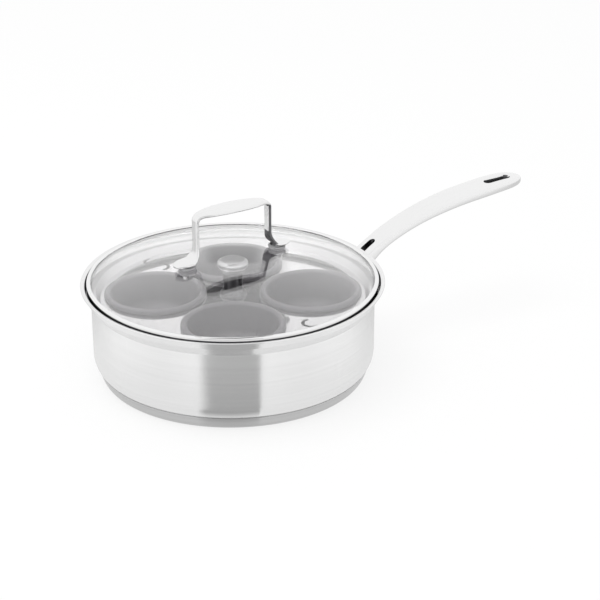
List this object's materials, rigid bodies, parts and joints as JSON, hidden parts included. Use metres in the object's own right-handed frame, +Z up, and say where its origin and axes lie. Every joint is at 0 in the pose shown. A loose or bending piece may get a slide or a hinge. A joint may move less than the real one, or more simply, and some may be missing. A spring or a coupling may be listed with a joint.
{
  "type": "egg poacher pan",
  "caption": "Low steel pan with a riveted long handle, a lift-out tray of non-stick poaching cups and a domed glass lid with a bar handle.",
  "frame": {"origin": "centre of the base, on the surface that the pan stands on", "axes": "+Z up; +X along the long handle, away from the pan; +Y to the left of a person who holds the handle and looks along +X"},
  "size_m": [0.3632, 0.2164, 0.1261],
  "materials": {
    "pan_steel": "fine brushed around the wall",
    "cap_steel": "turned, brushed around",
    "core_aluminium": "plain, hidden between two steel skins",
    "handle_steel": "satin top, polished edges",
    "fastener_steel": "polished",
    "tray_steel": "polished sheet",
    "knob_steel": "satin",
    "nonstick": "grey non-stick coating with a slight sheen",
    "lid_glass": "clear tempered glass",
    "band_steel": "polished rolled band",
    "bar_steel": "satin grip, polished edges",
    "ring_rubber": "matt silicone"
  },
  "bodies": {
    "pan": {"pan_body": "pan_steel", "pan_floor": "pan_steel", "base_core": "core_aluminium", "base_cap": "cap_steel", "long_handle": "handle_steel", "rivet_left": "fastener_steel", "rivet_right": "fastener_steel"},
    "tray": {"tray": "tray_steel", "lifting_knob": "knob_steel", "knob_washer": "fastener_steel", "knob_screw": "fastener_steel"},
    "cup_1": {"cup_1": "nonstick"},
    "cup_2": {"cup_2": "nonstick"},
    "cup_3": {"cup_3": "nonstick"},
    "cup_4": {"cup_4": "nonstick"},
    "lid": {"lid_glass": "lid_glass", "lid_band": "band_steel", "lid_handle": "bar_steel", "collar_left": "fastener_steel", "collar_right": "fastener_steel", "upper_ring_left": "ring_rubber", "upper_ring_right": "ring_rubber", "lower_ring_left": "ring_rubber", "lower_ring_right": "ring_rubber", "lid_washer_left": "fastener_steel", "lid_washer_right": "fastener_steel", "lid_screw_left": "fastener_steel", "lid_screw_right": "fastener_steel"}
  },
  "joints": [
    {"name": "tray_lift", "type": "slide", "parent": "pan", "child": "tray", "axis": [0, 0, 1], "range_m": [0, 0.1]},
    {"name": "lid_lift", "type": "slide", "parent": "tray", "child": "lid", "axis": [0, 0, 1], "range_m": [0, 0.12]},
    {"name": "cup_1_lift", "type": "slide", "parent": "tray", "child": "cup_1", "axis": [0, 0, 1], "range_m": [0, 0.007]},
    {"name": "cup_2_lift", "type": "slide", "parent": "tray", "child": "cup_2", "axis": [0, 0, 1], "range_m": [0, 0.007]},
    {"name": "cup_3_lift", "type": "slide", "parent": "tray", "child": "cup_3", "axis": [0, 0, 1], "range_m": [0, 0.007]},
    {"name": "cup_4_lift", "type": "slide", "parent": "tray", "child": "cup_4", "axis": [0, 0, 1], "range_m": [0, 0.007]}
  ]
}
